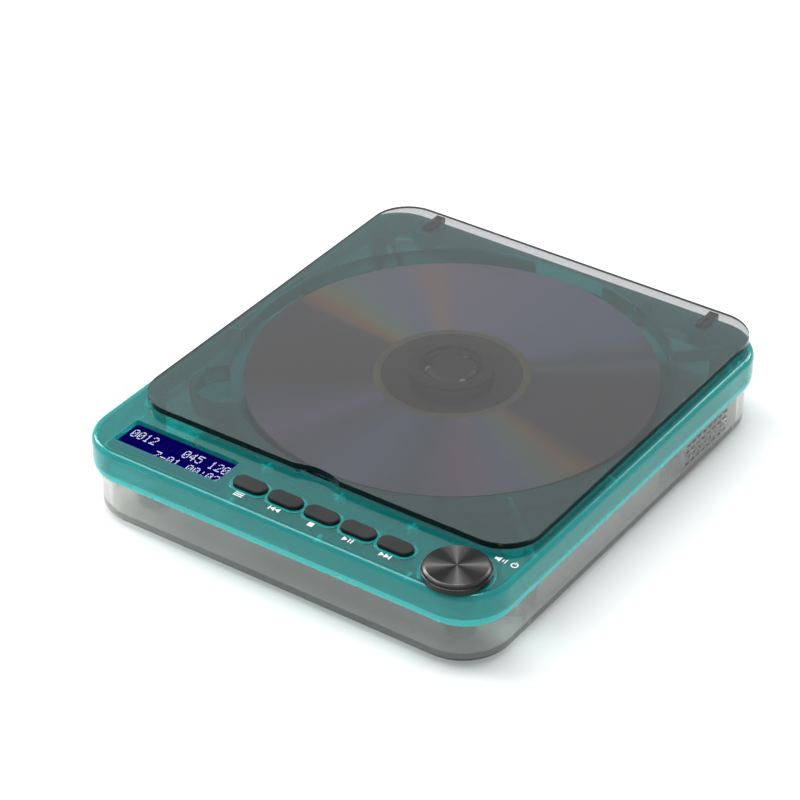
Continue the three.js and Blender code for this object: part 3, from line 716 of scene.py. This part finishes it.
# keys and knob
def makeKeys():
    edge = keyRow["edge"]
    first = stadium("keyCap", keyX(0), keyRow["y"], keyRow["length"], keyRow["width"], keyRow["bottom"],
                    keyRow["top"] - edge, 12)
    shapeFace(first, facesUp, quarterRound(edge, edge - 0.05, 5) + [keyRow["dish"]])
    smooth(first, 50)
    # key sides are painted darker than the tops as painted shade
    paint(first, keyRubberPaintedShadeSide, keyRubberTop)
    paintFaces(first, 1, lambda face: face.normal.z > keyRow["topNormal"])
    for index, name in enumerate(keyNames):
        key = copyTo(first, name + "KeyCap", (index * keyRow["pitch"], 0, 0))
        seat(key, name, "key_rubber", name + "_key")
    bpy.data.objects.remove(first)


def paintedSheenMetal():
    material, nodeList, links, shader = newMaterial("turnedDarkMetalPaintedSheen")
    setSockets(shader, {"Metallic": 1.0, "Anisotropic": 0.9})
    varyRoughness(nodeList, links, shader, 300, 0.26, 0.34)
    tangent = nodeList.new("ShaderNodeTangent")
    tangent.direction_type = "RADIAL"
    tangent.axis = "Z"
    links.new(tangent.outputs["Tangent"], shader.inputs["Tangent"])
    place = nodeList.new("ShaderNodeMapping")
    place.vector_type = "TEXTURE"
    place.inputs["Location"].default_value = (knob["centre"][0] * mm, knob["centre"][1] * mm, 0)
    place.inputs["Rotation"].default_value = (0, 0, math.radians(knob["sheenTurn"]))
    links.new(objectPlace(nodeList), place.inputs["Vector"])
    sweep = nodeList.new("ShaderNodeTexGradient")
    sweep.gradient_type = "RADIAL"
    links.new(place.outputs["Vector"], sweep.inputs["Vector"])
    fan = nodeList.new("ShaderNodeMath")
    fan.operation = "MULTIPLY"
    fan.inputs[1].default_value = knob["sheens"]
    links.new(sweep.outputs["Fac"], fan.inputs[0])
    fold = nodeList.new("ShaderNodeMath")
    fold.operation = "PINGPONG"
    fold.inputs[1].default_value = 0.5
    links.new(fan.outputs["Value"], fold.inputs[0])
    # painted sheen: bright and dark sectors fanned round the knob's centre in the base colour, beside the
    # real anisotropic gloss
    ramp = nodeList.new("ShaderNodeValToRGB")
    ramp.color_ramp.elements[0].color = (0.20, 0.195, 0.195, 1)
    ramp.color_ramp.elements[1].position = 0.38
    ramp.color_ramp.elements[1].color = (0.030, 0.029, 0.029, 1)
    middle = ramp.color_ramp.elements.new(0.14)
    middle.color = (0.085, 0.083, 0.083, 1)
    links.new(fold.outputs["Value"], ramp.inputs["Fac"])
    links.new(ramp.outputs["Color"], shader.inputs["Base Color"])
    rings = nodeList.new("ShaderNodeTexWave")
    rings.wave_type = "RINGS"
    rings.rings_direction = "Z"
    rings.inputs["Scale"].default_value = knob["ringScale"]
    rings.inputs["Distortion"].default_value = 0.6
    links.new(place.outputs["Vector"], rings.inputs["Vector"])
    roughen(nodeList, links, shader, rings.outputs["Fac"], 0.06)
    return material


def makeKnob():
    cap = startRound("volumeDial", knob["centre"], knob["radius"], knob["bottom"], knob["flangeTop"], 128)
    shapeFace(cap, facesUp, knob["steps"])
    smooth(cap, 25)
    skirt = moulded("dialSkirt", (0.006, 0.006, 0.006), (0.010, 0.010, 0.010), 0.25,
                    extra={"Specular IOR Level": 0.25})
    chamfer = moulded("dialChamfer", (0.05, 0.05, 0.05), (0.08, 0.08, 0.08), 0.3, 3000, 0.3,
                      {"Metallic": 1.0})
    paint(cap, skirt, paintedSheenMetal(), chamfer)
    steep, flat = 0.3, 0.9
    chamferLow, faceLow = knob["chamferFrom"] * mm, knob["faceFrom"] * mm
    # the turned top face carries the painted sheen sectors
    paintFaces(cap, 1, lambda face: face.normal.z > flat and face.center.z > faceLow)
    paintFaces(cap, 2, lambda face: steep < face.normal.z < flat and face.center.z > chamferLow)
    seat(cap, "volume", "turned_metal", "volume_knob")


# disc
discShape = {"radius": 60.0, "hole": 7.5, "bottom": 21.0, "top": 22.2, "mirrorStart": 22.8, "clearEnd": 20.6,
             "clearRim": 0.2}

# painted rainbow and painted reflection round the disc, by share of a turn
paintedRainbow = [
    (0.000, (0.09, 0.09, 0.10)), (0.105, (0.08, 0.08, 0.08)), (0.145, (0.13, 0.14, 0.19)),
    (0.175, (0.20, 0.17, 0.30)), (0.210, (0.12, 0.14, 0.18)), (0.260, (0.15, 0.20, 0.32)),
    (0.310, (0.11, 0.14, 0.19)), (0.355, (0.23, 0.17, 0.24)), (0.395, (0.15, 0.21, 0.30)),
    (0.420, (0.17, 0.26, 0.18)), (0.444, (0.30, 0.19, 0.10)), (0.465, (0.08, 0.08, 0.09)),
    (0.590, (0.08, 0.08, 0.09)), (0.608, (0.14, 0.19, 0.20)), (0.620, (0.10, 0.11, 0.13)),
    (0.660, (0.15, 0.23, 0.36)), (0.755, (0.22, 0.23, 0.38)), (0.830, (0.28, 0.27, 0.36)),
    (0.861, (0.42, 0.31, 0.26)), (0.890, (0.25, 0.28, 0.42)), (0.935, (0.22, 0.36, 0.34)),
    (0.957, (0.34, 0.34, 0.15)), (0.972, (0.40, 0.22, 0.12)), (0.986, (0.10, 0.10, 0.10)),
]


def discMirrorPaintedRainbow():
    material, nodeList, links, shader = newMaterial("discPaintedRainbow")
    place = nodeList.new("ShaderNodeMapping")
    place.inputs["Location"].default_value = (-spindlePlace[0] * mm, -spindlePlace[1] * mm, 0)
    links.new(objectPlace(nodeList), place.inputs["Vector"])
    sweep = nodeList.new("ShaderNodeTexGradient")
    sweep.gradient_type = "RADIAL"
    links.new(place.outputs["Vector"], sweep.inputs["Vector"])
    # painted rainbow: diffraction colours and light and dark reflections laid into the base colour by angle
    # round the spindle
    ramp = nodeList.new("ShaderNodeValToRGB")
    band = ramp.color_ramp
    while len(band.elements) < len(paintedRainbow):
        band.elements.new(0.5)
    for element, (position, colour) in zip(band.elements, paintedRainbow):
        element.position = position
        element.color = (*colour, 1)
    links.new(sweep.outputs["Fac"], ramp.inputs["Fac"])
    links.new(ramp.outputs["Color"], shader.inputs["Base Color"])
    varyRoughness(nodeList, links, shader, 120, 0.30, 0.40)
    addGrain(nodeList, links, shader, 40, 0.03)
    setSockets(shader, {"Metallic": 0.6, "Coat Weight": 1.0, "Coat Roughness": 0.03})
    return material


def reach(face):
    middle = Vector((spindlePlace[0], spindlePlace[1], 0)) * mm
    return (Vector((face.center.x, face.center.y, 0)) - middle).length / mm


def makeDisc():
    disc = startRound("disc120", spindlePlace, discShape["radius"], discShape["bottom"],
                      discShape["top"], 160)
    rings = [discShape["radius"], discShape["radius"] - discShape["clearRim"], discShape["mirrorStart"],
             discShape["clearEnd"], discShape["hole"]]
    shapeFace(disc, facesEitherWay, [(outer - inner, 0) for outer, inner in zip(rings, rings[1:])])
    pick(disc, "FACE", lambda face: facesEitherWay(face) and len(face.verts) > 4)
    bpy.ops.mesh.bridge_edge_loops()
    leaveEdit()
    smooth(disc)
    clearPart = seeThrough("clearDiscHub", (0.05, 0.05, 0.05), 0.5, 0.05, (0.5, 0.5, 0.5), grain=(60, 0.03))
    oliveRing = moulded("stackingRing", (0.16, 0.16, 0.09), (0.19, 0.19, 0.11), 0.3, extra={"Metallic": 0.5})
    paint(disc, discMirrorPaintedRainbow(), oliveRing, clearPart)
    paintFaces(disc, 1, lambda face: reach(face) < discShape["mirrorStart"])
    paintFaces(disc, 2, lambda face: reach(face) < discShape["clearEnd"])
    seat(disc, "spindle", "disc_plastic", "disc")


# display
display = {"edge": 0.12, "cellWidth": 2.05, "cellHeight": 4.3, "line": 0.18, "glow": 0.15,
           "cells": [(0.001, 0.000, 0.048, 1), (0.001, 0.000, 0.056, 1)], "lines": (0.004, 0.001, 0.09, 1)}


def makeDisplay():
    low, high = (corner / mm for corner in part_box("display_glass"))
    glass = startBlock("displayPanel", low, high)
    pick(glass, "EDGE", lambda edge: True)
    bpy.ops.mesh.bevel(offset=display["edge"] * mm, segments=2, affect="EDGES")
    leaveEdit()
    smooth(glass)
    material, nodeList, links, shader = newMaterial("blueDisplay")
    grid = nodeList.new("ShaderNodeTexBrick")
    grid.offset = 0
    grid.inputs["Scale"].default_value = 1 / mm
    grid.inputs["Brick Width"].default_value = display["cellWidth"]
    grid.inputs["Row Height"].default_value = display["cellHeight"]
    grid.inputs["Mortar Size"].default_value = display["line"]
    grid.inputs["Mortar Smooth"].default_value = 0.4
    grid.inputs["Color1"].default_value = display["cells"][0]
    grid.inputs["Color2"].default_value = display["cells"][1]
    grid.inputs["Mortar"].default_value = display["lines"]
    links.new(objectPlace(nodeList), grid.inputs["Vector"])
    links.new(grid.outputs["Color"], shader.inputs["Base Color"])
    links.new(grid.outputs["Color"], shader.inputs["Emission Color"])
    varyRoughness(nodeList, links, shader, 200, 0.08, 0.2)
    addGrain(nodeList, links, shader, 60, 0.02)
    setSockets(shader, {"Emission Strength": display["glow"], "Specular IOR Level": 0.0})
    paint(glass, material)
    seat(glass, "case", "display_plastic", "display_glass")


digitDots = {
    "0": "01110 10001 10011 10101 11001 10001 01110", "1": "00100 01100 00100 00100 00100 00100 01110",
    "2": "01110 10001 00001 00010 00100 01000 11111", "4": "00010 00110 01010 10010 11111 00010 00010",
    "5": "11111 10000 11110 00001 00001 10001 01110", "7": "11111 00001 00010 00100 01000 01000 01000",
    ":": "00000 00100 00100 00000 00100 00100 00000", "-": "00000 00000 00000 11111 00000 00000 00000",
}
readout = {"rows": ["0012    045 120", "     7-01 00:02"], "left": -57.6, "topRow": -62.2, "rowDrop": 4.9,
           "cell": 2.28, "dot": (0.27, 0.351), "dotPitch": (0.38, 0.52), "height": 0.03, "lift": 0.005}


def litPlaces():
    across, down = readout["dotPitch"]
    for rowNumber, row in enumerate(readout["rows"]):
        for column, sign in enumerate(row):
            for dotRow, line in enumerate(digitDots.get(sign, "").split()):
                for dotColumn, lit in enumerate(line):
                    if lit == "1":
                        yield (readout["left"] + column * readout["cell"] + dotColumn * across,
                               readout["topRow"] - rowNumber * readout["rowDrop"] - dotRow * down)


def makeReadout():
    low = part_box("display_glass")[1][2] / mm + readout["lift"]
    first = startBlock("digitDots", (0, 0, 0), (*readout["dot"], readout["height"]))
    dots = []
    for x, y in litPlaces():
        dot = twinOf(first, "digitDots")
        dot.location = Vector((x, y, low)) * mm
        dots.append(dot)
    bpy.data.objects.remove(first)
    group = joinPieces(dots, "digitDots")
    finishPlace(group)
    paint(group, litDots)
    seat(group, "case", "display_plastic")


# printed marks
ink = {"thickness": 0.03, "lift": 0.005, "iconY": -72.4, "shift": -0.5, "bar": (0.36, 1.7),
       "square": (1.7, 1.7), "stripe": (3.0, 0.34), "arrow": 1.0}
# bars and squares: across, up, size; arrows: across, way it points, size
keyMarks = {
    "mode": [(0, 0.75, ink["stripe"]), (0, 0, ink["stripe"]), (0, -0.75, ink["stripe"])],
    "previous": [(-1.7, 0, ink["bar"]), (-0.5, -1, ink["arrow"]), (1.1, -1, ink["arrow"])],
    "stop": [(0, 0, ink["square"])],
    "play": [(-1.0, 1, ink["arrow"]), (0.6, 0, ink["bar"]), (1.5, 0, ink["bar"])],
    "next": [(-1.1, 1, ink["arrow"]), (0.5, 1, ink["arrow"]), (1.7, 0, ink["bar"])],
}
knobMarks = {"at": (59.6, -56.6), "powerAt": 5.6, "ringOuter": 1.05, "ringInner": 0.75, "ringGap": 0.4,
             "speaker": [(0, 0, (0.9, 0.9)), (0.7, -1, 1.15), (2.1, 0, (0.28, 1.1)), (2.9, 0, (0.28, 1.8))],
             "stroke": (0, 0.75, (0.28, 1.1))}


def inkBlock(x, y, width, depth):
    low = deck["top"] + ink["lift"]
    return startBlock("inkMark", (x - width / 2, y - depth / 2, low),
                      (x + width / 2, y + depth / 2, low + ink["thickness"]))


def inkArrow(x, y, pointing, size):
    low = deck["top"] + ink["lift"]
    mark = startRound("inkMark", (0, 0), size, low, low + ink["thickness"], 3)
    mark.rotation_euler.z = math.radians(-90 * pointing)
    mark.location = Vector((x, y, 0)) * mm
    finishPlace(mark)
    return mark


def inkMark(x, y, mark):
    across, second, size = mark
    if isinstance(size, tuple):
        return inkBlock(x + across, y + second, *size)
    return inkArrow(x + across, y, second, size)


def inkRing(x, y):
    low = deck["top"] + ink["lift"]
    gap = knobMarks["ringGap"]
    ring = startRound("powerRing", (x, y), knobMarks["ringOuter"], low, low + ink["thickness"], 32)
    cutAway(ring, startRound("ringHole", (x, y), knobMarks["ringInner"], cut["low"], cut["top"], 32))
    cutAway(ring, startBlock("ringGap", (x - gap, y, cut["low"]), (x + gap, y + 2, cut["top"])))
    return ring


def makeIcons():
    marks = []
    for index, name in enumerate(keyNames):
        marks += [inkMark(keyX(index) + ink["shift"], ink["iconY"], mark) for mark in keyMarks[name]]
    x, y = knobMarks["at"]
    marks += [inkMark(x, y, mark) for mark in knobMarks["speaker"]]
    powerX = x + knobMarks["powerAt"]
    marks += [inkRing(powerX, y), inkMark(powerX, y, knobMarks["stroke"])]
    group = joinPieces(marks, "keyIcons")
    paint(group, whiteInk)
    seat(group, "case", "white_plastic")


def makeFloor():
    deselectAll()
    bpy.ops.mesh.primitive_plane_add(size=studio["floorSize"], location=(0, 0, 0))
    floor = bpy.context.object
    floor.name = "floor"
    paint(floor, moulded("floorPaint", (0.90, 0.90, 0.90), (0.905, 0.905, 0.905), 0.6, 200, 0.02))


addCamera()
setWorld()
addPanels()
finishNodes()
makeFloor()
print("studio ready")
makeDeckCover()
makeMouldings()
print("deck made")
makeBaseTub()
print("base made")
makeLidSheet()
makeHingeArms()
makeKeys()
makeKnob()
makeDisc()
makeDisplay()
makeReadout()
makeIcons()
print("pieces made")

bpy.context.scene.view_settings.view_transform = "Standard"
